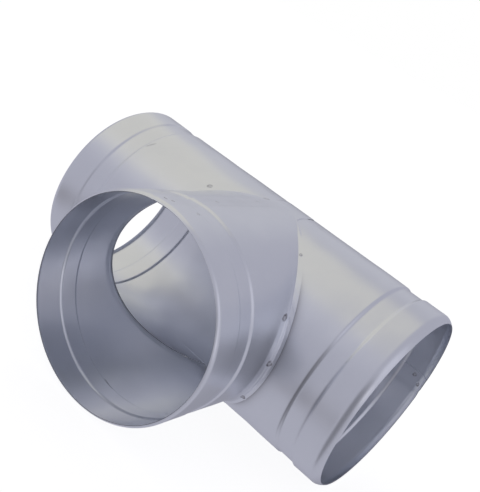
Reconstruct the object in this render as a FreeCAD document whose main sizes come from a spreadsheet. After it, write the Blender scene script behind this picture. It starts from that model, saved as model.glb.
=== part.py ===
import FreeCAD, Part
import math
import os
import Sketcher

# Equal duct tee in thin zinc-coated sheet, for 200 mm nominal round duct. The run lies along X and
# the branch leaves it towards -Y. Each of the three ends is a spigot: a rim drawn in to a smaller
# circle, a straight stretch that a duct slides over, and a shallow channel that stops the duct.
# Sizes are in millimetres, angles in degrees.

doc = FreeCAD.newDocument("DuctTee")
sheet = doc.addObject("Spreadsheet::Sheet", "Sizes")

sizes = {
    "PipeDiameter": 199.0,    # outside of the run, of the branch and of all three spigots
    "SheetThickness": 0.7,
    "RightArm": 186.0,        # branch axis to the right rim
    "LeftArm": 201.0,         # branch axis to the left rim
    "BranchReach": 197.0,     # run axis to the branch rim
    "SpigotLength": 30.0,     # rim to the channel
    "ChannelWidth": 20.0,
    "ChannelDepth": 1.5,
    "ChannelRamp": 3.0,       # length over which the channel's side comes up
    "LipLength": 8.0,         # drawn-in stretch behind each rim
    "RightLipDrop": 4.5,      # how far each rim is drawn in, on the radius
    "LeftLipDrop": 2.8,
    "BranchLipDrop": 2.5,
    "FlangeWidth": 7.0,       # how far the saddle flange reaches out over the run
    "TongueWidth": 40.0,      # tab of the flange that laps over the top and the bottom of the run
    "TongueReach": 26.0,      # how far that tab goes behind the run's crest
    "HoleInset": 1.0,         # how far the edge of the run's hole lies inside the mitre
    "LapWidth": 16.0,         # overlap of the rolled sheet at its long seam
    "RunSeamAngle": 84.5,     # edge of the run's seam, from the top towards the back
    "BranchSeamAngle": 10.0,  # edge of the branch's seam, from the top towards the left
}
for row, (word, value) in enumerate(sizes.items(), start=1):
    sheet.set(f"A{row}", word)
    sheet.set(f"B{row}", str(value))
    sheet.setAlias(f"B{row}", word)
doc.recompute()


def amount(terms):
    """Millimetres of a sum of named sizes, given as {name: factor}."""
    return sum(factor * sizes[word] for word, factor in terms.items())


def formula(terms):
    """The same sum as an expression on the sheet."""
    return " + ".join(f"{factor} * Sizes.{word}" for word, factor in terms.items()) or "0"


def plus(first, second, sign=1):
    """The sum, or with sign -1 the difference, of two sums of named sizes."""
    total = dict(first)
    for word, factor in second.items():
        total[word] = total.get(word, 0) + sign * factor
    return total


outer_radius = {"PipeDiameter": 0.5}
inner_radius = plus(outer_radius, {"SheetThickness": 1}, -1)
flange_radius = plus(outer_radius, {"SheetThickness": 1})


def new_body(name):
    body = doc.addObject("PartDesign::Body", name)
    body.Label = name
    return body


def new_sketch(body, name, plane, turn=None):
    """Sketch on one of the body's origin planes; turn swings it about its own first axis."""
    base = next(item for item in body.Origin.OriginFeatures if item.Role == plane)
    sketch = body.newObject("Sketcher::SketchObject", name)
    sketch.AttachmentSupport = [(base, "")]
    sketch.MapMode = "FlatFace"
    if turn:
        sketch.AttachmentOffset = FreeCAD.Placement(
            FreeCAD.Vector(), FreeCAD.Rotation(FreeCAD.Vector(1, 0, 0), 1))
        sketch.setExpression("AttachmentOffset.Rotation.Angle", turn)
    return sketch


def bind(sketch, constraint, terms):
    index = sketch.addConstraint(constraint)
    sketch.setExpression(f"Constraints[{index}]", formula(terms))


def add_outline(sketch, points):
    """Closed polygon whose corners are pairs of sums of named sizes."""
    corners = [FreeCAD.Vector(amount(across), amount(up), 0) for across, up in points]
    lines = [Part.LineSegment(start, end) for start, end in zip(corners, corners[1:] + corners[:1])]
    first = sketch.addGeometry(lines, False)[0]
    count = len(lines)
    for index in range(count):
        following = first + (index + 1) % count
        sketch.addConstraint(Sketcher.Constraint("Coincident", first + index, 2, following, 1))
    for index, (across, up) in enumerate(points):
        corner = (-1, 1, first + index, 1)
        bind(sketch, Sketcher.Constraint("DistanceX", *corner, amount(across)), across)
        bind(sketch, Sketcher.Constraint("DistanceY", *corner, amount(up)), up)


def add_circle(sketch, radius):
    """Circle of two half arcs that meet on the sketch's first axis, so no face wraps all round."""
    ring = Part.Circle(FreeCAD.Vector(), FreeCAD.Vector(0, 0, 1), amount(radius))
    halves = [Part.ArcOfCircle(ring, 0, math.pi), Part.ArcOfCircle(ring, math.pi, 2 * math.pi)]
    first, second = sketch.addGeometry(halves, False)
    sketch.addConstraint(Sketcher.Constraint("Coincident", first, 3, -1, 1))
    sketch.addConstraint(Sketcher.Constraint("Coincident", second, 3, -1, 1))
    sketch.addConstraint(Sketcher.Constraint("Coincident", first, 2, second, 1))
    sketch.addConstraint(Sketcher.Constraint("Coincident", second, 2, first, 1))
    sketch.addConstraint(Sketcher.Constraint("PointOnObject", first, 1, -1))
    sketch.addConstraint(Sketcher.Constraint("PointOnObject", first, 2, -1))
    bind(sketch, Sketcher.Constraint("Radius", first, amount(radius)), radius)


def spigot_profile(side, arm, lip_drop):
    """Outside line of one end, from its rim inwards, as (station, radius) pairs."""
    channel_radius = plus(outer_radius, {"ChannelDepth": 1}, -1)
    steps = [
        ({}, plus(outer_radius, {lip_drop: 1}, -1)),
        ({"LipLength": 1}, outer_radius),
        ({"SpigotLength": 1}, outer_radius),
        ({"SpigotLength": 1, "ChannelRamp": 1}, channel_radius),
        ({"SpigotLength": 1, "ChannelWidth": 1, "ChannelRamp": -1}, channel_radius),
        ({"SpigotLength": 1, "ChannelWidth": 1}, outer_radius),
    ]
    rim = {arm: side}
    return [(plus(rim, depth, -side), radius) for depth, radius in steps]


def wall_outline(line, inset):
    """Closed section of one sheet whose outside lies inset sheets inside the line."""
    top = [(place, plus(radius, {"SheetThickness": inset}, -1)) for place, radius in line]
    bottom = [(place, plus(radius, {"SheetThickness": 1}, -1)) for place, radius in top]
    return top + bottom[::-1]


def revolve(body, name, sketch, angle=None):
    feature = body.newObject("PartDesign::Revolution", name)
    feature.Profile = sketch
    feature.ReferenceAxis = (sketch, ["H_Axis"])
    feature.Refine = False
    feature.Angle = 360
    if angle:
        feature.setExpression("Angle", angle)
    return feature


def cut_through(body, name, sketch):
    """Pocket that goes all the way to both sides of the sketch."""
    feature = body.newObject("PartDesign::Pocket", name)
    feature.Profile = sketch
    feature.Refine = False
    feature.SideType = "Symmetric"
    feature.Type = "ThroughAll"
    return feature


def lap_angle(radius):
    return f"Sizes.LapWidth / ({formula(radius)}) * 180 / pi"


def v_outline(setback, reach):
    """Corners of a wedge that opens towards -Y, with its sides on the planes |x| = setback - y."""
    far = plus(setback, reach, -1)
    return [(reach, far), (plus({}, reach, -1), far)]


def make_run():
    """Rolled sheet along X, with a mitred hole at the front and its long seam at the back."""
    body = new_body("run_pipe")
    line = spigot_profile(-1, "LeftArm", "LeftLipDrop")
    line += spigot_profile(1, "RightArm", "RightLipDrop")[::-1]
    section = new_sketch(body, "RunSection", "XZ_Plane")
    add_outline(section, wall_outline(line, 0))
    revolve(body, "RunWall", section)

    lap = new_sketch(body, "RunLapSection", "XZ_Plane", turn="-Sizes.RunSeamAngle")
    add_outline(lap, wall_outline(line, 1))
    strip = revolve(body, "RunLap", lap, lap_angle(outer_radius))
    strip.Reversed = True

    wedge = plus(outer_radius, {"FlangeWidth": 1})
    hole = new_sketch(body, "BranchHoleOutline", "XY_Plane")
    apex = ({}, {"HoleInset": -1})
    add_outline(hole, [apex] + v_outline({"HoleInset": -1}, wedge))
    cut_through(body, "BranchHole", hole)
    return body


def make_branch():
    """Rolled sheet along -Y whose end is turned out into a flange that saddles the run."""
    body = new_body("branch_collar")
    line = spigot_profile(-1, "BranchReach", "BranchLipDrop") + [({}, outer_radius)]
    section = new_sketch(body, "BranchSection", "YZ_Plane")
    add_outline(section, wall_outline(line, 0))
    revolve(body, "BranchWall", section)

    # the flange starts as a solid round bar on the run's axis, one sheet larger than the run
    half_width = plus(outer_radius, {"FlangeWidth": 1})
    bar_section = new_sketch(body, "SaddleBarSection", "YZ_Plane")
    add_circle(bar_section, flange_radius)
    bar = body.newObject("PartDesign::Pad", "SaddleBar")
    bar.Profile = bar_section
    bar.Refine = False
    bar.SideType = "Symmetric"
    bar.setExpression("Length", f"2 * ({formula(half_width)})")

    # everything outside the flange's plan outline goes: a mitre on each side and a tongue behind
    tongue = {"TongueWidth": 0.5}
    shoulder = plus({"FlangeWidth": 1}, tongue, -1)
    wide = plus(half_width, {"FlangeWidth": 1})
    waste = plus(wide, {"FlangeWidth": 1})
    front = plus({"BranchReach": -1}, {"FlangeWidth": 1}, -1)
    mitre = plus({"FlangeWidth": 1}, wide, -1)
    plan = new_sketch(body, "FlangePlan", "XY_Plane")
    left = [(plus({}, tongue, -1), {"TongueReach": 1}), (plus({}, tongue, -1), shoulder),
            (plus({}, wide, -1), mitre), (plus({}, wide, -1), front)]
    right = [(wide, front), (wide, mitre), (tongue, shoulder), (tongue, {"TongueReach": 1})]
    add_outline(plan, left + right)
    low = plus(front, {"FlangeWidth": 1}, -1)
    add_outline(plan, [(waste, low), (waste, waste), (plus({}, waste, -1), waste),
                       (plus({}, waste, -1), low)])
    cut_through(body, "FlangeTrim", plan)

    bore_section = new_sketch(body, "BranchBoreSection", "XZ_Plane")
    add_circle(bore_section, inner_radius)
    bore = body.newObject("PartDesign::Pocket", "BranchBore")
    bore.Profile = bore_section
    bore.Refine = False
    bore.Reversed = True
    bore.setExpression("Length", formula(half_width))

    lap = new_sketch(body, "BranchLapSection", "YZ_Plane", turn="-Sizes.BranchSeamAngle")
    add_outline(lap, wall_outline(line, 1))
    revolve(body, "BranchLap", lap, lap_angle(outer_radius))

    run_section = new_sketch(body, "RunEnvelopeSection", "YZ_Plane")
    add_circle(run_section, outer_radius)
    cut_through(body, "RunEnvelope", run_section)
    return body


def place(body):
    """Lays the tee on Z = 0, with the middle of its plan box on the origin."""
    body.setExpression("Placement.Base.x", "(Sizes.LeftArm - Sizes.RightArm) / 2")
    body.setExpression("Placement.Base.y", f"(Sizes.BranchReach - ({formula(outer_radius)})) / 2")
    body.setExpression("Placement.Base.z", formula(flange_radius))


pieces = [make_run(), make_branch()]
for piece in pieces:
    place(piece)
doc.recompute()

for item in doc.Objects:
    if "Invalid" in item.State or "Error" in item.State:
        raise RuntimeError(f"{item.Name} failed: {item.State}")
os.makedirs("parts", exist_ok=True)
for piece in pieces:
    if piece.Shape.isNull() or not piece.Shape.isValid():
        raise RuntimeError(f"{piece.Label} has no valid shape")
    piece.Shape.exportStep(f"parts/{piece.Label}.step")
    box = piece.Shape.BoundBox
    print(piece.Label, "solids", len(piece.Shape.Solids), "volume", round(piece.Shape.Volume, 1),
          "x", round(box.XMin, 2), round(box.XMax, 2), "y", round(box.YMin, 2), round(box.YMax, 2),
          "z", round(box.ZMin, 2), round(box.ZMax, 2))
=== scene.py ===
import bpy
import math
import numpy as np
from mathutils import Matrix, Vector


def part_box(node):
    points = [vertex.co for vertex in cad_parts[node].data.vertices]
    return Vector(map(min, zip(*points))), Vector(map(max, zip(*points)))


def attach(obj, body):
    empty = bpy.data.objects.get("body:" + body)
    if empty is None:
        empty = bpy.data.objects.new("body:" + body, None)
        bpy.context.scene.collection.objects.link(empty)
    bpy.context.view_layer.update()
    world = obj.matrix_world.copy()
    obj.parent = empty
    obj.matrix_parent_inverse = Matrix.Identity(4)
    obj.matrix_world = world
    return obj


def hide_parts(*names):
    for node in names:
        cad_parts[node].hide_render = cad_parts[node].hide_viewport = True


# round duct tee in zinc-coated sheet: a rolled run, a rolled branch collar that saddles it, and spot welds
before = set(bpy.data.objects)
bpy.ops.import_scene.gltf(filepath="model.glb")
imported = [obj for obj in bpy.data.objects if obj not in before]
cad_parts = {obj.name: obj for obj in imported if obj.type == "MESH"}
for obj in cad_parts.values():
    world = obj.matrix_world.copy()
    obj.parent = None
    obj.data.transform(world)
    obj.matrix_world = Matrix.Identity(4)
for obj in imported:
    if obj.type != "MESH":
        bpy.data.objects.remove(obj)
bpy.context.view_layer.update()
runLow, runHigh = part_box("run_pipe")
collarLow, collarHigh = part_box("branch_collar")

# the two pipe axes cross here; both pipes have the same outside radius
middleX = (collarLow.x + collarHigh.x) / 2
crossing = np.array([middleX, (runLow.y + runHigh.y) / 2, (runLow.z + runHigh.z) / 2])
pipeRadius = (runHigh.z - runLow.z) / 2
flangeRadius = (collarHigh.z - collarLow.z) / 2    # outside of the flange where it lies on the run

# what both rolled sheets share, in metres and degrees
sheetStock = {
    "thickness": 0.0007,
    "spigot": 0.0295,         # rim to the channel
    "channelWidth": 0.0225,
    "channelRamp": 0.0035,    # length of each side of the channel
    "lap": 0.016,             # overlap at the long seam
    "joggle": 0.007,          # length over which the under layer comes back out
    "weldPress": 0.00025,     # how far the lap is pressed in along its welds
    "edgeWidth": 0.02,        # degrees taken up by a cut edge
    "wrinkle": 0.0005,        # deepest of the soft hollows left by rolling
    "calmFade": 0.03,         # length over which those hollows fade towards the saddle
    "lipRows": 0.010,         # closely spaced stretch behind the rim
    "rampMargin": 0.001,      # and on each side of a ramp
    "sharpFrom": 38,          # degrees between faces past which an edge is drawn sharp
}


def smoothStep(v):
    # rises from 0 to 1 as v goes from 0 to 1, level at both ends
    v = np.clip(v, 0, 1)
    return v * v * (3 - 2 * v)


def spigotOffset(depth, lip):
    # change of radius at a distance behind the rim: the lip falls in a parabola, drop times the square of the
    # share of the lip's length that is left, and the channel is a trough with an S-shaped side at each end
    s = sheetStock
    length, drop, trough = lip
    curl = np.clip(1 - depth / length, 0, 1) ** 2
    down = smoothStep((depth - s["spigot"]) / s["channelRamp"])
    up = smoothStep((depth - s["spigot"] - s["channelWidth"] + s["channelRamp"]) / s["channelRamp"])
    return -drop * curl - trough * (down - up)


def spigotStations():
    # distances behind a rim, close together where the outline bends
    s = sheetStock
    start = s["spigot"]
    end = start + s["channelWidth"]
    ramp = s["channelRamp"]
    near = s["rampMargin"]
    spans = [(0, s["lipRows"], 14), (s["lipRows"], start - near, 4), (start - near, start + ramp + near, 9),
             (start + ramp + near, end - ramp - near, 3), (end - ramp - near, end + near, 9)]
    pieces = [np.linspace(low, high, count, endpoint=False) for low, high, count in spans]
    return np.concatenate(pieces + [[end + near]])


def lapSteps(angle, edge, side):
    # how many sheets the outside and the inside stand back, by angle round the pipe in degrees: the outer
    # layer ends at edge and its cover lies on the side given by the sign; beyond the edge the under layer
    # comes back out, and inside it carries on for the width of the lap
    s = sheetStock
    lap = math.degrees(s["lap"] / pipeRadius)
    joggle = math.degrees(s["joggle"] / pipeRadius)
    past = ((angle - edge) * side + 180) % 360 - 180     # positive under the cover
    back = 1 - smoothStep(-past / joggle)
    outside = np.where(past < 0, back, 0)
    inside = np.where(past < 0, back, np.where(past < lap, 1, 0))
    press = s["weldPress"] / s["thickness"] * smoothStep(past / 2) * smoothStep((lap - past) / 2)
    return outside + np.where(past > 0, press, 0), inside


def rowAngles(first, turn, step, closer, edges):
    # angles from first round to first + turn: even steps, finer ones in the named spans, and two rows
    # close together at each cut edge
    rows = [np.arange(first, first + turn, step)]
    rows += [np.linspace(low, high, count) for low, high, count in closer]
    rows = np.unique(np.concatenate(rows))
    half = sheetStock["edgeWidth"]
    exact = np.array([edge + sign * half for edge in edges for sign in (-1, 1)])
    rows = rows[np.abs(rows[:, None] - exact[None]).min(1) > 0.12]
    rows = np.sort(np.concatenate([rows, exact]))
    rows = rows[(rows >= first - 1e-9) & (rows <= first + turn + 1e-9)]
    return rows[np.concatenate([[True], np.diff(rows) > 1e-4])]


def rollingHollows(along, angle, seed):
    # soft hollows from rolling: the product of slow waves along and round the pipe, never above the surface
    turn = np.radians(angle)
    wave = np.sin(along * 61 + seed + 1.3 * np.sin(2 * turn)) * np.sin(3 * turn + 2.1 * seed + along * 17)
    fine = np.sin(along * 143 + 2 * seed) * np.sin(7 * turn + seed)
    return -(0.5 + 0.3 * wave + 0.2 * fine) * sheetStock["wrinkle"]


def gridFaces(ids):
    # four corners of each cell of a grid of vertex numbers
    return np.stack([ids[:-1, :-1], ids[1:, :-1], ids[1:, 1:], ids[:-1, 1:]], -1).reshape(-1, 4)


def wallFaces(first, second):
    # strip of cells between two lines of vertex numbers
    return np.stack([first[:-1], first[1:], second[1:], second[:-1]], -1)


def meshPiece(name, points, quads, materials, kinds=None, attributes=None, triangles=None):
    # one object at the origin from whole arrays; vertices that no face uses are left out
    corners = quads.ravel() if triangles is None else np.concatenate([quads.ravel(), triangles.ravel()])
    used, corners = np.unique(corners, return_inverse=True)
    faces = corners[:quads.size].reshape(-1, 4).tolist()
    if triangles is not None:
        faces += corners[quads.size:].reshape(-1, 3).tolist()
    mesh = bpy.data.meshes.new(name)
    mesh.from_pydata(points[used], [], faces)
    for label, values in (attributes or {}).items():
        layer = mesh.attributes.new(label, "FLOAT", "POINT")
        layer.data.foreach_set("value", values[used].astype(np.float32))
    for material in materials:
        mesh.materials.append(material)
    if kinds is not None:
        mesh.polygons.foreach_set("material_index", kinds.astype(np.int32))
    mesh.shade_smooth()
    mesh.set_sharp_from_angle(angle=math.radians(sheetStock["sharpFrom"]))
    mesh.validate()
    piece = bpy.data.objects.new(name, mesh)
    bpy.context.scene.collection.objects.link(piece)
    return piece


runPipe = {
    "leftArm": crossing[0] - runLow.x,
    "rightArm": runHigh.x - crossing[0],
    "leftLip": (0.0055, 0.0028, 0.0011),      # length and drop of the drawn-in stretch, depth of the channel
    "rightLip": (0.0088, 0.0045, 0.0015),
    "seamEdge": 93.7,         # outer layer's edge, degrees from the top towards the back
    "holeSetback": 0.0026,    # how far the edge of the hole stands outside the mitre
    "flangeEdge": 0.0066,     # where the collar's flange ends, beyond the mitre
    "calm": 0.012,            # no hollows this close to the hole
    "edgeShadeAndDirtFade": 0.0030,       # length over which the dirt and painted shade beside the flange fade
    "channelShade": 0.8,       # how dark the painted shade on the right channel's ramps is, low in front
    "channelShadeAt": -88,     # degrees from the top where it is darkest, and how far it reaches from there
    "channelShadeSpan": 38,
    "channelShadeWidth": 0.0013,
    "rowStep": 1.5,
    "straightEnd": 0.118,     # past this the columns are square to the pipe
}


def makeRunPipe(materials):
    # a tube along X: radius = pipe radius + spigot offset; row = angle from the top towards the back,
    # column = x. Its left and right halves meet at x = 0 behind, and in front their edge follows
    # |x| = setback - y, the mitred hole
    p = runPipe
    s = sheetStock
    apex = math.degrees(math.asin(p["holeSetback"] / pipeRadius))
    lap = math.degrees(s["lap"] / pipeRadius)
    first = p["seamEdge"] + s["edgeWidth"]
    angle = rowAngles(first, 360 - 2 * s["edgeWidth"], p["rowStep"], [(350, 370, 41), (170, 190, 41)],
                      [p["seamEdge"], p["seamEdge"] - lap + 360, 360 + apex, 180 - apex])
    turn = np.radians(angle)
    hole = np.maximum(0, p["holeSetback"] - pipeRadius * np.sin(turn))
    hole[hole < 1e-5] = 0
    near = np.array([0, 2.5, 4.5, 5.4, 6.1, 6.8, 7.8, 9.5, 12, 15]) / 1000
    inward = np.linspace(0, 1, 15)[1:]
    columns, stations = [], spigotStations()
    for side, arm, lip in ((-1, p["leftArm"], p["leftLip"]), (1, p["rightArm"], p["rightLip"])):
        bent = hole[:, None] + near[None]
        bent = np.concatenate([bent, bent[:, -1:] + (p["straightEnd"] - bent[:, -1:]) * inward], 1)
        plain = np.linspace(p["straightEnd"], arm - stations[-1], 5)[1:-1]
        straight = np.concatenate([plain, arm - stations[::-1]])
        x = np.concatenate([bent, np.broadcast_to(straight, (len(angle), len(straight)))], 1)
        offset = spigotOffset(arm - x, lip)
        columns.append((x[:, ::-1] * -1, offset[:, ::-1]) if side < 0 else (x, offset))
    x = np.concatenate([columns[0][0], columns[1][0]], 1)
    offset = np.concatenate([columns[0][1], columns[1][1]], 1)
    split = columns[0][0].shape[1]
    clear = smoothStep((np.abs(x) - hole[:, None] - p["calm"]) / s["calmFade"])
    closed = hole == 0
    clear = np.where(closed[:, None], 1, clear)
    radius = pipeRadius + offset + rollingHollows(x, angle[:, None], 0.7) * clear
    stepX = np.gradient(x, axis=1)
    slope = np.gradient(radius, axis=1) / np.where(np.abs(stepX) < 1e-9, 1, stepX)
    slope[:, split - 1:split + 1] = 0
    normal = np.stack([-slope, np.sin(turn)[:, None] + 0 * x, np.cos(turn)[:, None] + 0 * x], -1)
    normal /= np.linalg.norm(normal, axis=-1, keepdims=True)
    wall = np.stack([x, radius * np.sin(turn)[:, None], radius * np.cos(turn)[:, None]], -1)
    outStep, inStep = (step[:, None, None] * s["thickness"] for step in lapSteps(angle, p["seamEdge"], -1))
    outside = wall - outStep * normal
    inside = wall - (s["thickness"] + inStep) * normal
    points = np.concatenate([outside.reshape(-1, 3), inside.reshape(-1, 3)]) + crossing

    rows, cols = x.shape
    ids = np.arange(rows * cols).reshape(rows, cols)
    ids[closed, split] = ids[closed, split - 1]
    ids = np.concatenate([ids, ids[:1]])
    under = ids + rows * cols
    stillOpen = ~(closed & np.roll(closed, -1))
    skin = np.concatenate([gridFaces(ids[:, :split])[:, ::-1], gridFaces(ids[:, split:])[:, ::-1],
                           gridFaces(under[:, :split]), gridFaces(under[:, split:])])
    rims = np.concatenate([wallFaces(ids[:, 0], under[:, 0]), wallFaces(under[:, -1], ids[:, -1]),
                           wallFaces(under[:, split - 1], ids[:, split - 1])[stillOpen],
                           wallFaces(ids[:, split], under[:, split])[stillOpen]])

    # painted shade and dirt along the flange's edge low on the right, and painted shade on both ramps of the
    # right channel
    beyond = np.abs(x) - np.maximum(0, -pipeRadius * np.sin(turn))[:, None] - p["flangeEdge"]
    low = smoothStep((-np.sin(turn) - 0.62) / 0.25)[:, None] * (x > 0)
    dirtAndShadeMask = np.exp(-(np.maximum(0, beyond) / p["edgeShadeAndDirtFade"])) * np.where(beyond > -0.0015, 1, 0) * low
    behind = p["rightArm"] - x
    ramps = [s["spigot"] + s["channelRamp"] * 0.6, s["spigot"] + s["channelWidth"] - s["channelRamp"] * 0.4]
    trench = sum(np.exp(-((behind - ramp) / p["channelShadeWidth"]) ** 2) for ramp in ramps)
    away = np.abs((angle + 180) % 360 - 180 - p["channelShadeAt"]) / p["channelShadeSpan"]
    front = np.clip(1 - away, 0, 1)[:, None]
    dirtAndShadeMask = np.maximum(dirtAndShadeMask, p["channelShade"] * trench * smoothStep(front))
    arc = np.broadcast_to((turn * pipeRadius)[:, None], x.shape)
    both = {label: np.concatenate([v.ravel(), v.ravel()]) for label, v in
            {"sheetAlong": x, "sheetRound": arc, "rubbed": 0 * x}.items()}
    both["dirtAndShadeMask"] = np.concatenate([dirtAndShadeMask.ravel(), 0 * dirtAndShadeMask.ravel()])
    kinds = np.concatenate([np.zeros(len(skin)), np.ones(len(rims))])
    piece = meshPiece("runShell", points, np.concatenate([skin, rims]), materials, kinds, both)
    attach(piece, "root")
    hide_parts("run_pipe")
    print("run pipe:", len(piece.data.polygons), "faces")
    return {"angle": angle, "along": x, "outside": outside, "inside": inside, "normal": normal, "hand": 1}


branchCollar = {
    "reach": crossing[1] - collarLow.y,
    "lip": (0.0039, 0.0025, 0.0015),
    "seamEdge": -10.0,        # outer layer's edge, degrees from the top towards the right
    "bendAtCrest": 0.0085,    # how far before the mitre the sheet starts to turn out, at the crest
    "bendAtLeft": 0.0120,     # the same at the left side
    "bendAtCrotch": 0.0092,   # the same at the right side
    "sideFrom": 0.42,         # radians from the top where the bend starts to change to that of the side
    "sideSpan": 0.75,
    "bendShare": 0.55,        # share of the flange that the bend takes up
    "bendTight": 0.85,        # how much less of the flange it takes up high on the right
    "flange": 0.0066,         # flange beyond the mitre, measured along X
    "lift": 0.00003,          # hair's breadth between flange and run
    "tongueLeft": 0.0150,
    "tongueRight": 0.0198,
    "tongueBack": 0.0250,     # how far the tongue reaches behind the crest
    "tongueCorner": 0.0070,
    "bendPull": 0.14,         # share of the way to the mitre that each end of the bend runs straight on
    "seamFade": 0.016,        # the lap is pressed flat over this length before the bend
    "feather": 0.00060,       # how much thinner the sheet is hammered at the edge of the tongue
    "channelSlip": 0.0019,    # how far the under layer's channel sits nearer the mouth at the seam
    "slipSpan": 28,           # degrees over which it comes back
    "smear": 0.32,            # how dark the dirt round the weld low on the right is
    "smearAt": (92, 0.004),   # its middle: degrees from the top, distance past the start of the bend
    "smearSize": (8, 0.010),
    "rowStep": 1.25,
}


def mitreLine(fold):
    # where the branch's outside meets the flange's outside, unrolled on the run: along X, and round it from
    # the crest; fold is the angle round the branch from the top, radians, within a quarter turn.
    # on the branch x = R sin, z = R cos; on the flange y = -sqrt((R + t)^2 - z^2)
    share = pipeRadius / flangeRadius
    along = pipeRadius * np.sin(fold)
    around = -flangeRadius * np.arccos(share * np.cos(fold))
    dAlong = pipeRadius * np.cos(fold)
    dAround = -flangeRadius * share * np.sin(fold) / np.sqrt(1 - (share * np.cos(fold)) ** 2)
    length = np.hypot(dAlong, dAround)
    return along, around, -dAround / length, dAlong / length


def flangeWidth(fold):
    # the flange is as wide as keeps its edge parallel to the mitre in plan
    return branchCollar["flange"] / np.sqrt(1 + np.cos(fold) ** 2)


def onFlange(along, around, height):
    # unrolled place to a point at a height over the run's surface
    radius = pipeRadius + height
    turn = around / flangeRadius
    return np.stack([along + 0 * turn, radius * np.sin(turn), radius * np.cos(turn)], -1)


def tongueOutline(share):
    # a rectangle with round corners, walked from its left foot (-1) over the back to its right foot (1)
    c = branchCollar
    corner = c["tongueCorner"]
    foot = c["flange"] - np.array([c["tongueLeft"], c["tongueRight"]])
    bend = np.linspace(0, math.pi / 2, 9)
    leftX = -c["tongueLeft"] + corner - corner * np.cos(bend)
    leftY = c["tongueBack"] - corner + corner * np.sin(bend)
    rightX = c["tongueRight"] - corner + corner * np.sin(bend)
    rightY = c["tongueBack"] - corner + corner * np.cos(bend)
    px = np.concatenate([[-c["tongueLeft"]], leftX, rightX, [c["tongueRight"]]])
    py = np.concatenate([[foot[0]], leftY, rightY, [foot[1]]])
    walked = np.concatenate([[0], np.cumsum(np.hypot(np.diff(px), np.diff(py)))])
    at = (share + 1) / 2 * walked[-1]
    return np.interp(at, walked, px), np.interp(at, walked, py)


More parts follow.
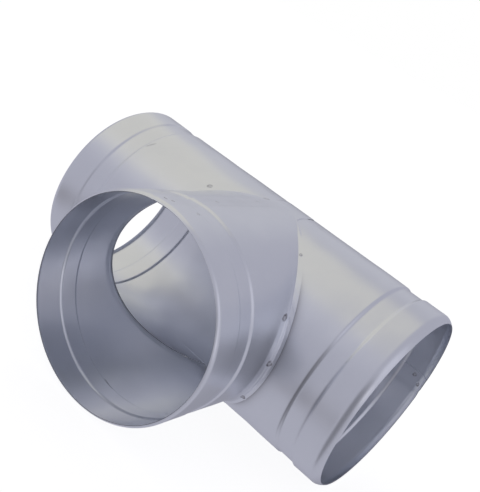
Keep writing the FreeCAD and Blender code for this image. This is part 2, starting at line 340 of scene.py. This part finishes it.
def makeBranchCollar(materials):
    # a tube along Y whose end is swept out: row = angle round the branch, column = distance along the sheet,
    # first the barrel, then a cubic curve that rounds the corner at the mitre, then the flange on the run's
    # round back. The lower half is the upper one mirrored in height
    c = branchCollar
    s = sheetStock
    lap = math.degrees(s["lap"] / pipeRadius)
    first = c["seamEdge"] + s["edgeWidth"]
    angle = rowAngles(first, 360 - 2 * s["edgeWidth"], c["rowStep"],
                      [(first, 13, 60), (345, 350, 14), (166, 194, 71)], [c["seamEdge"], c["seamEdge"] + lap])
    turned = (angle + 180) % 360 - 180
    fold = np.radians(np.where(np.abs(turned) > 90, np.sign(turned) * 180 - turned, turned))
    upper = np.where(np.abs(turned) > 90, -1, 1)[:, None]
    along, around, outX, outY = mitreLine(fold)
    width = flangeWidth(fold)

    # edge of the flange, with the tongue let in where the two mitres meet
    edgeX, edgeY = along + width * outX, around + width * outY
    sample = np.radians(np.linspace(-20, 20, 401))
    sampleX, _, sampleOut, _ = mitreLine(sample)
    sampleEdge = sampleX + flangeWidth(sample) * sampleOut
    left = np.interp(-c["tongueLeft"], sampleEdge, sample)
    right = np.interp(c["tongueRight"], sampleEdge, sample)
    tongueX, tongueY = tongueOutline(np.clip((fold - left) / (right - left) * 2 - 1, -1, 1))
    inTongue = (fold > left) & (fold < right)
    edgeX, edgeY = np.where(inTongue, tongueX, edgeX), np.where(inTongue, tongueY, edgeY)

    thickness = flangeRadius - pipeRadius
    mitre = onFlange(along, around, thickness)
    lowness = smoothStep((np.abs(fold) - c["sideFrom"]) / c["sideSpan"])
    bendSide = np.where(fold > 0, c["bendAtCrotch"], c["bendAtLeft"])
    startY = mitre[:, 1] - c["bendAtCrest"] - (bendSide - c["bendAtCrest"]) * lowness
    stations = spigotStations()
    rest = -c["reach"] + stations[-1]
    steps = np.linspace(0, 1, 15)[1:]
    y = np.concatenate([np.broadcast_to(stations - c["reach"], (len(angle), len(stations))),
                        rest + (startY[:, None] - rest) * steps], 1)
    barrelCols = y.shape[1]
    fromRim = y + c["reach"]
    offset = spigotOffset(fromRim, c["lip"])

    # the under layer slips towards the mouth beside the seam, but only round its channel
    behind = c["seamEdge"] - turned[:, None]
    slip = c["channelSlip"] * np.where(behind > 0, 1 - smoothStep(behind / c["slipSpan"]), 0)
    inChannel = smoothStep((fromRim - 0.012) / 0.014) * (1 - smoothStep((fromRim - 0.055) / 0.03))
    y = y - slip * inChannel
    fade = 1 - smoothStep((y - startY[:, None] + c["seamFade"]) / c["seamFade"])
    hollow = smoothStep((startY[:, None] - y) / s["calmFade"])
    radius = pipeRadius + offset + rollingHollows(y, angle[:, None], 2.9) * hollow
    barrel = np.stack([radius * np.sin(fold)[:, None], y, radius * np.cos(fold)[:, None]], -1)

    # bend and flange
    start = barrel[:, -1:]
    highRight = smoothStep((fold - 0.15) / 0.25) * smoothStep((1.35 - fold) / 0.45) * (np.abs(turned) < 90)
    share = c["bendShare"] * (1 - c["bendTight"] * highRight)
    bendX, bendY = along + share * width * outX, around + share * width * outY
    stop = onFlange(bendX, bendY, thickness)[:, None]
    t = np.linspace(0, 1, 12)[1:][None, :, None]
    leave = start + c["bendPull"] * (mitre[:, None] - start)
    arrive = stop + c["bendPull"] * (mitre[:, None] - stop)
    bend = (1 - t) ** 3 * start + 3 * t * (1 - t) ** 2 * leave + 3 * t ** 2 * (1 - t) * arrive + t ** 3 * stop
    t = np.linspace(0, 1, 12)[1:][None]
    flangeX = bendX[:, None] + t * (edgeX - bendX)[:, None]
    flangeY = bendY[:, None] + t * (edgeY - bendY)[:, None]
    flange = onFlange(flangeX, flangeY, thickness)
    wall = np.concatenate([barrel, bend, flange], 1)

    # outward direction from neighbouring points, and straight out from the run's axis on the flange
    rowWay = np.roll(wall, -1, 0) - np.roll(wall, 1, 0)
    rowWay *= upper[..., None]
    nextWall = np.concatenate([wall[:, 1:], wall[:, -1:]], 1)
    lastWall = np.concatenate([wall[:, :1], wall[:, :-1]], 1)
    normal = np.cross(rowWay, nextWall - lastWall)
    normal /= np.linalg.norm(normal, axis=-1, keepdims=True)
    laid = wall[:, barrelCols + 10:] * np.array([0, 1, 1])
    normal[:, barrelCols + 10:] = laid / np.linalg.norm(laid, axis=-1, keepdims=True)

    cols = wall.shape[1]
    seam = np.concatenate([fade, np.zeros((len(angle), cols - barrelCols))], 1)[..., None]
    outStep, inStep = (step[:, None, None] * thickness * seam for step in lapSteps(angle, c["seamEdge"], 1))
    outside = wall - outStep * normal
    feather = c["feather"] * smoothStep((c["sideFrom"] - np.abs(fold)) / 0.15)[:, None, None]
    outside[:, -5:] -= feather * np.array([0.12, 0.32, 0.55, 0.78, 1])[:, None] * normal[:, -5:]
    inside = wall - (thickness - c["lift"] + inStep) * normal
    flip = np.stack([np.ones_like(upper), np.ones_like(upper), upper], -1)
    points = np.concatenate([(outside * flip).reshape(-1, 3), (inside * flip).reshape(-1, 3)]) + crossing

    rows = len(angle)
    ids = np.arange(rows * cols).reshape(rows, cols)
    ids = np.concatenate([ids, ids[:1]])
    under = ids + rows * cols
    skin = np.concatenate([gridFaces(ids), gridFaces(under)[:, ::-1], wallFaces(ids[:, -1], under[:, -1])])
    rims = wallFaces(under[:, 0], ids[:, 0])
    lengths = np.linalg.norm(np.diff(wall, axis=1), axis=-1)
    walked = np.concatenate([np.zeros((rows, 1)), np.cumsum(lengths, 1)], 1)
    arc = np.broadcast_to((np.radians(angle) * pipeRadius)[:, None], walked.shape)
    rubbed = smoothStep((np.abs(fold) - 0.75) / 0.3)[:, None] * (np.arange(cols) > barrelCols + 5)
    fromBend = walked - walked[:, barrelCols - 1:barrelCols]
    roundWay = (turned[:, None] - c["smearAt"][0]) / c["smearSize"][0]
    smear = c["smear"] * np.exp(-roundWay ** 2 - ((fromBend - c["smearAt"][1]) / c["smearSize"][1]) ** 2)
    both = {label: np.concatenate([v.ravel(), v.ravel()]) for label, v in
            {"sheetAlong": walked, "sheetRound": arc, "rubbed": rubbed}.items()}
    both["dirtAndShadeMask"] = np.concatenate([smear.ravel(), 0 * smear.ravel()])
    kinds = np.concatenate([np.zeros(len(skin)), np.ones(len(rims))])
    piece = meshPiece("collarShell", points, np.concatenate([skin, rims]), materials, kinds, both)
    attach(piece, "root")
    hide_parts("branch_collar")
    print("branch collar:", len(piece.data.polygons), "faces")
    return {"angle": angle, "along": fromBend, "outside": outside * flip,
            "inside": inside * flip, "normal": normal * flip, "hand": -1, "bendStart": startY}


weldMarks = {
    "rings": 13,
    "spokes": 28,
    "crater": 0.5,            # raised, burnt ring, as a share of the mark's radius
    "ringWidth": 0.17,
    "ringHeight": 0.00014,
    "clear": 0.00003,         # height of the mark's middle over the sheet
    "tuck": 0.00005,          # how far its rim dips under the surface
    "rimShare": 0.25,         # outer share of the radius over which it slopes down to that rim
    "sink": 0.0003,           # how far its underside lies in the sheet, and the share of that left at the rim
    "thinRim": 0.3,
    "patchy": 0.65,           # how much the burn fades on one side of each ring
}


def markOnSheet(sheet, side, angle, along, size, stretch=1.0, tilt=0.0, scuff=False):
    # one closed lens laid on a rolled sheet about a place given by angle and distance along it. Polar grid:
    # height over the sheet = clear + ring height times a bell of (share - crater), dipping under the sheet at
    # the edge; the place itself is looked up between the sheet's own rows and columns. A scuff has no ring
    w = weldMarks
    share = np.linspace(0, 1, w["rings"])[:, None] + np.zeros((1, w["spokes"]))
    spoke = np.linspace(0, 2 * math.pi, w["spokes"], endpoint=False)[None]
    far = share * size * np.cos(spoke) * stretch
    wide = share * size * np.sin(spoke) / stretch
    forward = far * math.cos(tilt) - wide * math.sin(tilt)
    roundWay = far * math.sin(tilt) + wide * math.cos(tilt)
    first = sheet["angle"][0]
    rows = len(sheet["angle"])
    want = (angle - first + np.degrees(roundWay / pipeRadius)) % 360 + first
    row = np.interp(want, np.append(sheet["angle"], first + 360), np.arange(rows + 1))
    track = sheet["along"][int(round(float(row[0, 0]))) % rows]
    col = np.interp(along + forward, track, np.arange(len(track)))
    col += np.maximum(0, along + forward - track[-1]) / (track[-1] - track[-2])
    lowRow, lowCol = row.astype(int) % rows, np.minimum(col.astype(int), len(track) - 2)
    highRow = (lowRow + 1) % rows
    rowPart, colPart = (row % 1)[..., None], (col - lowCol)[..., None]

    def between(grid):
        near = grid[lowRow, lowCol] * (1 - colPart) + grid[lowRow, lowCol + 1] * colPart
        nextRow = grid[highRow, lowCol] * (1 - colPart) + grid[highRow, lowCol + 1] * colPart
        return near * (1 - rowPart) + nextRow * rowPart

    skin = between(sheet["outside"] if side > 0 else sheet["inside"])
    normal = between(sheet["normal"]) * side
    bell = np.exp(-((share - w["crater"]) / w["ringWidth"]) ** 2) * (not scuff)
    edge = smoothStep((1 - share) / w["rimShare"])
    height = (w["clear"] + w["ringHeight"] * bell) * edge - w["tuck"] * (1 - edge)
    depth = w["sink"] * (w["thinRim"] + (1 - w["thinRim"]) * edge)
    top = skin + height[..., None] * normal
    bottom = skin - depth[..., None] * normal
    return top, bottom, 0.6 + share if scuff else share / w["crater"]


def makeMarks(name, places, material):
    # marks of one sheet and kind make one piece: a disc of rings and spokes above, another below, and a wall
    # between their rims; each place is how dark the mark is, then what markOnSheet takes
    w = weldMarks
    size = w["rings"] * w["spokes"]
    ring = np.arange(w["rings"])[:, None] * w["spokes"] + np.arange(w["spokes"] + 1)[None] % w["spokes"]
    points, quads, triangles, burns, soots = [], [], [], [], []
    for number, (soot, *place) in enumerate(places):
        top, bottom, burn = markOnSheet(*place)
        start = 2 * size * number
        upper, lower = ring[1:] + start, ring[1:] + start + size
        shell = np.concatenate([gridFaces(upper), gridFaces(lower)[:, ::-1], wallFaces(lower[-1], upper[-1])])
        caps = [np.stack([np.full(w["spokes"], pole), line[:-1], line[1:]], -1)
                for pole, line in ((start, upper[0]), (start + size, lower[0]))]
        caps = np.concatenate([caps[0], caps[1][:, ::-1]])
        turned = place[0]["hand"] * place[1] < 0
        quads.append(shell[:, ::-1] if turned else shell)
        triangles.append(caps[:, ::-1] if turned else caps)
        points += [top.reshape(-1, 3), bottom.reshape(-1, 3)]
        burns += [burn.ravel(), burn.ravel()]
        spoke = np.linspace(0, 2 * math.pi, w["spokes"], endpoint=False) + 2.4 * number    # each turned on
        patchy = 1 - w["patchy"] * (0.5 + 0.5 * np.cos(spoke + 0.8 * np.sin(2 * spoke)))
        soots.append(np.tile(soot * patchy, 2 * w["rings"]))
    piece = meshPiece(name, np.concatenate(points) + crossing, np.concatenate(quads), [material],
                      attributes={"burn": np.concatenate(burns), "soot": np.concatenate(soots)},
                      triangles=np.concatenate(triangles))
    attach(piece, "root")
    print(name + ":", len(places), "marks")
    return piece


# where the marks lie; angles are degrees from the top
markPlaces = {
    # how dark it is, angle, distance past the start of the bend, radius
    "saddle": [
        (0.35, -10.2, 0.0090, 0.0036), (0.65, 33.0, 0.0112, 0.0021), (1.0, 63.9, 0.0042, 0.0046),
        (1.0, 87.9, 0.0076, 0.0044), (0.9, 116, 0.0095, 0.0042), (0.9, 141, 0.0110, 0.0042),
        (0.8, 157, 0.0085, 0.0034), (0.9, -62, 0.0120, 0.0042), (1.0, -89, 0.0130, 0.0044),
        (0.9, -116, 0.0130, 0.0042), (0.9, -141, 0.0115, 0.0042), (0.8, -157, 0.0085, 0.0034),
    ],
    # distance from the crossing in pipe radii, and angle; each is marked on both sides of the sheet
    "runSeam": [(1.81, 91.3), (1.723, 87.4), (1.2, 89.5), (0.62, 88.6), (0.03, 89.4),
                (-0.58, 88.9), (-1.17, 89.6), (-1.78, 88.7), (-1.93, 90.3)],
    # how dark it is, angle, distance from the crossing in pipe radii, radius, and -1 on the inside
    "branchSeam": [
        (0.5, -5.4, -1.838, 0.0024), (0.3, 6.0, -1.722, 0.0024), (0.35, -5.6, -1.19, 0.0026),
        (0.3, -7.4, -0.46, 0.0024), (0.8, -5.4, -1.838, 0.0034, -1), (0.8, -5.6, -1.19, 0.0034, -1),
        (0.8, -7.0, -0.46, 0.0034, -1),
    ],
    # the same, with the side before the last two values on the branch: stretch and tilt
    "runScuffs": [(0.5, -32.0, -0.643, 0.0034, 0.7, 0.9), (0.3, -33.5, -1.48, 0.0034, 0.45, -0.3)],
    "branchScuffs": [(0.7, -8.3, -1.875, 0.0019, 1, 0.7, 0.0), (0.45, 184.0, -1.47, 0.0042, -1, 0.45, -0.25)],
}


def onBranch(sheet, soot, angle, y, size, side=1, *rest):
    # place for makeMarks on the branch: distance past the bend's start = y in pipe radii - that start's own y
    start = sheet["bendStart"]
    start = np.interp(angle, sheet["angle"], start) if angle > branchCollar["seamEdge"] else start[-1]
    return (soot, sheet, side, angle, y * pipeRadius - float(start), size, *rest)


zincSheet = {
    "colour": (0.862, 0.886, 0.932, 1),
    "paleColour": (0.888, 0.910, 0.950, 1),
    "roughness": 0.30,
    "cloudScale": 9.0,        # slow blotches, per metre
    "spangleScale": 95.0,     # zinc crystals
    "streakScale": 260.0,     # fine rolling lines
    "waveScale": 22.0,        # soft dents that bend the reflections
    "streakStretch": 0.06,    # their scale along the roll against that across it
    "spangleShare": 0.16,     # how much crystals and lines add to the clouds
    "streakShare": 0.16,
    "palest": (0.42, 0.92),   # sum of the three at which the colour starts to turn pale and is palest
    "glossSpread": (0.04, -0.02),
    # dark colour that the mask attribute mixes in: painted shade on the run's channel ramps and beside the
    # flange, and dirt round the collar's low weld
    "shadeAndDirt": (0.115, 0.10, 0.105, 1),
    "shadeAndDirtShare": 0.55,
    "bump": 0.35,
    "rub": 0.7,               # depth of the rubbed lines on the flange
    "edgeRoughness": 0.42,    # cut edges are duller, and darker: bare steel, and painted shade along the rims and the hole's edge
    "edgeShade": 0.4,
}


def addNode(tree, kind, settings=None, **inputs):
    # node with its own settings, and inputs given by socket name as a value or as another node's socket
    node = tree.nodes.new(kind)
    for label, value in (settings or {}).items():
        setattr(node, label, value)
    for label, value in inputs.items():
        socket = node.inputs[int(label[2:]) if label[:2] == "in" else label]
        if isinstance(value, bpy.types.NodeSocket):
            tree.links.new(value, socket)
        else:
            socket.default_value = value
    return node


def makeZinc(name, roughness, shade):
    # zinc-coated sheet: slow clouds and faint crystals change colour and gloss, fine lines run round the
    # roll, and a mask attribute mixes in a dark colour as painted shade and dirt
    z = zincSheet
    material = bpy.data.materials.new(name)
    material.use_nodes = True
    tree = material.node_tree
    shader = tree.nodes["Principled BSDF"]
    shader.inputs["Metallic"].default_value = 1.0
    shader.inputs["Specular Tint"].default_value = (0.95, 0.95, 0.97, 1)    # or grazing edges go white
    place = addNode(tree, "ShaderNodeTexCoord").outputs["Object"]
    clouds = addNode(tree, "ShaderNodeTexNoise", Vector=place,
                     Scale=z["cloudScale"], Detail=3.0, Roughness=0.55)
    spangle = addNode(tree, "ShaderNodeTexVoronoi", Vector=place, Scale=z["spangleScale"])
    along = addNode(tree, "ShaderNodeAttribute", {"attribute_name": "sheetAlong"})
    around = addNode(tree, "ShaderNodeAttribute", {"attribute_name": "sheetRound"})
    unrolled = addNode(tree, "ShaderNodeCombineXYZ", X=along.outputs["Fac"], Y=around.outputs["Fac"])
    stretched = addNode(tree, "ShaderNodeMapping", Vector=unrolled.outputs[0],
                        Scale=(1.0, z["streakStretch"], 1.0))
    streaks = addNode(tree, "ShaderNodeTexNoise", Vector=stretched.outputs[0],
                      Scale=z["streakScale"], Detail=2.0)
    grey = addNode(tree, "ShaderNodeSeparateColor", Color=spangle.outputs["Color"])
    mixed = addNode(tree, "ShaderNodeMath", {"operation": "MULTIPLY_ADD"},
                    in0=grey.outputs["Red"], in1=z["spangleShare"], in2=clouds.outputs["Fac"])
    lined = addNode(tree, "ShaderNodeMath", {"operation": "MULTIPLY_ADD"},
                    in0=streaks.outputs["Fac"], in1=z["streakShare"], in2=mixed.outputs[0])
    share = addNode(tree, "ShaderNodeMapRange", in0=lined.outputs[0],
                    in1=z["palest"][0], in2=z["palest"][1], in3=0.0, in4=1.0)
    colour = addNode(tree, "ShaderNodeMix", {"data_type": "RGBA"}, in0=share.outputs[0],
                     in6=tuple(v * shade for v in z["colour"][:3]) + (1,),
                     in7=tuple(v * shade for v in z["paleColour"][:3]) + (1,))
    # painted shade and dirt: the mask attribute mixes in the dark colour
    dirtAndShadeMask = addNode(tree, "ShaderNodeAttribute", {"attribute_name": "dirtAndShadeMask"})
    shadeAndDirt = addNode(tree, "ShaderNodeMath", {"operation": "MULTIPLY"},
                   in0=dirtAndShadeMask.outputs["Fac"], in1=z["shadeAndDirtShare"])
    shadedAndDirty = addNode(tree, "ShaderNodeMix", {"data_type": "RGBA"}, in0=shadeAndDirt.outputs[0],
                    in6=colour.outputs[2], in7=z["shadeAndDirt"])
    tree.links.new(shadedAndDirty.outputs[2], shader.inputs["Base Color"])
    gloss = addNode(tree, "ShaderNodeMapRange", in0=lined.outputs[0], in1=0.4, in2=1.0,
                    in3=roughness + z["glossSpread"][0], in4=roughness + z["glossSpread"][1])
    tree.links.new(gloss.outputs[0], shader.inputs["Roughness"])
    waves = addNode(tree, "ShaderNodeTexNoise", Vector=place, Scale=z["waveScale"], Detail=1.0, Roughness=0.4)
    rubbed = addNode(tree, "ShaderNodeAttribute", {"attribute_name": "rubbed"})
    rub = addNode(tree, "ShaderNodeMath", {"operation": "MULTIPLY"}, in0=rubbed.outputs["Fac"], in1=z["rub"])
    lines = addNode(tree, "ShaderNodeMath", {"operation": "MULTIPLY_ADD"},
                    in0=streaks.outputs["Fac"], in1=rub.outputs[0], in2=waves.outputs["Fac"])
    bump = addNode(tree, "ShaderNodeBump", Height=lines.outputs[0], Strength=z["bump"], Distance=0.003)
    tree.links.new(bump.outputs[0], shader.inputs["Normal"])
    return material


weldLook = {
    "burnt": (0.17, 0.155, 0.165, 1),
    "middle": (0.55, 0.54, 0.56, 1),
    "roughness": 0.48,
    "speckScale": 300.0,
    "ragged": 1.6,            # how far the specks push the ring in and out
    "ring": (1.2, 1.8, 2.6),  # distance plus specks where the middle ends, the burn is full, the sheet begins
}


def makeWeldMaterial():
    # burn is the distance from the middle in crater radii: pale in the middle, dark on the ring, and the
    # sheet's colour outside
    look = weldLook
    material = bpy.data.materials.new("burntWeld")
    material.use_nodes = True
    tree = material.node_tree
    shader = tree.nodes["Principled BSDF"]
    shader.inputs["Metallic"].default_value = 1.0
    burn = addNode(tree, "ShaderNodeAttribute", {"attribute_name": "burn"}).outputs["Fac"]
    place = addNode(tree, "ShaderNodeTexCoord").outputs["Object"]
    specks = addNode(tree, "ShaderNodeTexNoise", Vector=place,
                     Scale=look["speckScale"], Detail=2.5).outputs["Fac"]
    ragged = addNode(tree, "ShaderNodeMath", {"operation": "MULTIPLY_ADD"},
                     in0=specks, in1=look["ragged"], in2=burn).outputs[0]
    inside, middle, outside = look["ring"]
    inner = addNode(tree, "ShaderNodeMapRange", {"interpolation_type": "SMOOTHSTEP"},
                    in0=ragged, in1=inside, in2=middle).outputs[0]
    outer = addNode(tree, "ShaderNodeMapRange", {"interpolation_type": "SMOOTHSTEP"},
                    in0=ragged, in1=middle, in2=outside).outputs[0]
    ringed = addNode(tree, "ShaderNodeMix", {"data_type": "RGBA"}, in0=inner, in6=look["middle"],
                     in7=look["burnt"]).outputs[2]
    faded = addNode(tree, "ShaderNodeMix", {"data_type": "RGBA"}, in0=outer, in6=ringed,
                    in7=zincSheet["colour"]).outputs[2]
    soot = addNode(tree, "ShaderNodeAttribute", {"attribute_name": "soot"}).outputs["Fac"]
    marked = addNode(tree, "ShaderNodeMix", {"data_type": "RGBA"}, in0=soot, in6=zincSheet["colour"],
                     in7=faded).outputs[2]
    tree.links.new(marked, shader.inputs["Base Color"])
    gloss = addNode(tree, "ShaderNodeMapRange", in0=outer, in1=0.0, in2=1.0, in3=look["roughness"],
                    in4=zincSheet["roughness"]).outputs[0]
    tree.links.new(gloss, shader.inputs["Roughness"])
    bump = addNode(tree, "ShaderNodeBump", Height=specks, Strength=0.3, Distance=0.0002)
    tree.links.new(bump.outputs[0], shader.inputs["Normal"])
    return material


studio = {
    "focalLength": 56.505,
    "shift": (0.0319, 0.0301),
    "azimuth": 27.530,
    "elevation": 20.161,
    "roll": 28.501,
    "target": (0.4494, -1.5906, 0.7653),    # in pipe radii from the crossing
    "distance": 6.2502,
    "horizon": (0.441, 0.439, 0.503),
    "zenith": (0.422, 0.420, 0.483),
    "below": (0.448, 0.446, 0.511),
    "behindCamera": (0.53, -0.85, 0),       # the dark upright band behind the camera
    "behindShare": 0.55,
    "behindWidth": (0.86, 0.97),            # cosines at which it starts and is full
    "behindTop": (0.22, 0.56),              # heights at which it starts to fade and is gone
    "patches": {                            # direction, cosines at which it starts and is full, colour, share
        "backGlow": ((-0.46, 0.83, 0.32), 0.86, 0.98, (0.537, 0.535, 0.576), 1.0),
        "frontGlow": ((-0.45, -0.55, 0.72), 0.93, 0.995, (0.556, 0.554, 0.624), 0.75),
        "brownPatch": ((-0.43, -0.80, -0.42), 0.955, 0.995, (0.200, 0.190, 0.210), 1.0),
        "underShade": ((0.10, 0.83, -0.55), 0.86, 0.99, (0.287, 0.286, 0.330), 0.8),
        "rightGlow": ((0.82, -0.15, 0.53), 0.90, 0.985, (0.62, 0.62, 0.70), 1.0),
        "backShade": ((-0.43, 0.88, -0.17), 0.93, 0.99, (0.20, 0.20, 0.22), 0.9),
    },
    "floorGlow": 0.88,
    "floorPaint": 0.30,
    "floorReach": 9,
    "lights": {                             # place, size, colour, power
        "keyLight": ((-1.5, 0.25, 2.1), 3.0, (1.0, 0.93, 0.42), 5.85),
        "sideLight": ((2.5, -1.1, 0.3), 0.7, (1.0, 0.98, 1.0), 0.7),
    },
}


def makeCamera():
    # the photograph's view: round by the azimuth, up by the elevation, then rolled about the line of sight
    v = studio
    azimuth, elevation, roll = (math.radians(v[word]) for word in ("azimuth", "elevation", "roll"))
    flat = math.cos(elevation)
    back = Vector((math.sin(azimuth) * flat, -math.cos(azimuth) * flat, math.sin(elevation)))
    level = Vector((0, 0, 1)).cross(back).normalized()
    above = back.cross(level)
    right = math.cos(roll) * level + math.sin(roll) * above
    up = -math.sin(roll) * level + math.cos(roll) * above
    data = bpy.data.cameras.new("photoCamera")
    data.lens = v["focalLength"]
    data.sensor_width = 36
    data.shift_x, data.shift_y = v["shift"]
    camera = bpy.data.objects.new("photoCamera", data)
    place = Vector(crossing) + (Vector(v["target"]) + back * v["distance"]) * pipeRadius
    camera.matrix_world = Matrix((right, up, back)).transposed().to_4x4()
    camera.location = place
    bpy.context.scene.collection.objects.link(camera)
    bpy.context.scene.camera = camera


def makeStudio():
    # white background, a room that is grey in reflections, with paler and darker patches, a pale floor and
    # two soft lights
    v = studio
    scene = bpy.context.scene
    scene.view_settings.view_transform = "Standard"
    world = bpy.data.worlds.new("studioRoom")
    scene.world = world
    world.use_nodes = True
    tree = world.node_tree
    way = addNode(tree, "ShaderNodeTexCoord").outputs["Generated"]
    height = addNode(tree, "ShaderNodeSeparateXYZ", Vector=way).outputs["Z"]
    upShare = addNode(tree, "ShaderNodeMapRange", {"interpolation_type": "SMOOTHSTEP"},
                      in0=height, in1=0.1, in2=0.9).outputs[0]
    downShare = addNode(tree, "ShaderNodeMapRange", {"interpolation_type": "SMOOTHSTEP"},
                        in0=height, in1=0.0, in2=-0.3).outputs[0]
    upper = addNode(tree, "ShaderNodeMix", {"data_type": "RGBA"}, in0=upShare,
                    in6=v["horizon"] + (1,), in7=v["zenith"] + (1,)).outputs[2]
    room = addNode(tree, "ShaderNodeMix", {"data_type": "RGBA"}, in0=downShare,
                   in6=upper, in7=v["below"] + (1,)).outputs[2]
    for direction, start, full, colour, share in v["patches"].values():
        towards = addNode(tree, "ShaderNodeVectorMath", {"operation": "DOT_PRODUCT"},
                          in0=way, in1=tuple(Vector(direction).normalized())).outputs["Value"]
        amount = addNode(tree, "ShaderNodeMapRange", {"interpolation_type": "SMOOTHSTEP"},
                         in0=towards, in1=start, in2=full, in3=0.0, in4=share).outputs[0]
        room = addNode(tree, "ShaderNodeMix", {"data_type": "RGBA"},
                       in0=amount, in6=room, in7=colour + (1,)).outputs[2]
    level = addNode(tree, "ShaderNodeVectorMath", {"operation": "MULTIPLY"},
                    in0=way, in1=(1, 1, 0)).outputs["Vector"]
    level = addNode(tree, "ShaderNodeVectorMath", {"operation": "NORMALIZE"}, in0=level).outputs["Vector"]
    behind = addNode(tree, "ShaderNodeVectorMath", {"operation": "DOT_PRODUCT"},
                     in0=level, in1=tuple(Vector(v["behindCamera"]).normalized())).outputs["Value"]
    band = addNode(tree, "ShaderNodeMapRange", {"interpolation_type": "SMOOTHSTEP"},
                   in0=behind, in1=v["behindWidth"][0], in2=v["behindWidth"][1],
                   in3=0.0, in4=v["behindShare"]).outputs[0]
    under = addNode(tree, "ShaderNodeMapRange", {"interpolation_type": "SMOOTHSTEP"},
                    in0=height, in1=v["behindTop"][0], in2=v["behindTop"][1],
                    in3=1.0, in4=0.0).outputs[0]
    dark = addNode(tree, "ShaderNodeMath", {"operation": "MULTIPLY"}, in0=band, in1=under).outputs[0]
    shaded = addNode(tree, "ShaderNodeMix", {"data_type": "RGBA"},
                     in0=dark, in6=room, in7=(0, 0, 0, 1)).outputs[2]
    direct = addNode(tree, "ShaderNodeLightPath").outputs["Is Camera Ray"]
    shown = addNode(tree, "ShaderNodeMix", {"data_type": "RGBA"},
                    in0=direct, in6=shaded, in7=(1, 1, 1, 1)).outputs[2]
    tree.links.new(shown, tree.nodes["Background"].inputs["Color"])

    mesh = bpy.data.meshes.new("paleFloor")
    reach = v["floorReach"]
    corners = [(-reach, -reach, 0), (reach, -reach, 0), (reach, reach, 0), (-reach, reach, 0)]
    mesh.from_pydata(corners, [], [(0, 1, 2, 3)])
    floor = bpy.data.objects.new("paleFloor", mesh)
    floor.visible_glossy = False
    scene.collection.objects.link(floor)
    material = bpy.data.materials.new("paleFloorPaint")
    material.use_nodes = True
    shader = material.node_tree.nodes["Principled BSDF"]
    shader.inputs["Base Color"].default_value = (v["floorPaint"],) * 3 + (1,)
    shader.inputs["Roughness"].default_value = 0.9
    shader.inputs["Specular IOR Level"].default_value = 0.0
    shader.inputs["Emission Color"].default_value = (1, 1, 1, 1)
    shader.inputs["Emission Strength"].default_value = v["floorGlow"]
    mesh.materials.append(material)

    for name, (spot, size, colour, power) in v["lights"].items():
        data = bpy.data.lights.new(name, "AREA")
        data.energy = power
        data.size = size
        data.color = colour
        light = bpy.data.objects.new(name, data)
        light.location = spot
        light.rotation_euler = (Vector((0, 0, 0.1)) - Vector(spot)).to_track_quat("-Z", "Y").to_euler()
        scene.collection.objects.link(light)


makeCamera()
print("camera set")
galvanised = makeZinc("galvanisedSheet", zincSheet["roughness"], 1.0)
# cut edges: a darker copy of the sheet, bare steel and partly painted shade
cutEdge = makeZinc("cutSheetEdge", zincSheet["edgeRoughness"], zincSheet["edgeShade"])
runSheet = makeRunPipe([galvanised, cutEdge])
branchSheet = makeBranchCollar([galvanised, cutEdge])

burntWeld = makeWeldMaterial()
saddlePlaces = [(soot, branchSheet, 1, *place) for soot, *place in markPlaces["saddle"]]
makeMarks("saddleWelds", saddlePlaces, burntWeld)
seamPlaces = [(0.9, runSheet, side, angle, x * pipeRadius, 0.0030)
              for x, angle in markPlaces["runSeam"] for side in (1, -1)]
makeMarks("runSeamWelds", seamPlaces, burntWeld)
seamPlaces = [onBranch(branchSheet, *place) for place in markPlaces["branchSeam"]]
makeMarks("branchSeamWelds", seamPlaces, burntWeld)
scuffPlaces = [(soot, runSheet, 1, angle, x * pipeRadius, *rest, True)
               for soot, angle, x, *rest in markPlaces["runScuffs"]]
makeMarks("runScuffs", scuffPlaces, burntWeld)
scuffPlaces = [onBranch(branchSheet, *place, True) for place in markPlaces["branchScuffs"]]
makeMarks("branchScuffs", scuffPlaces, burntWeld)
makeStudio()
print("studio set")
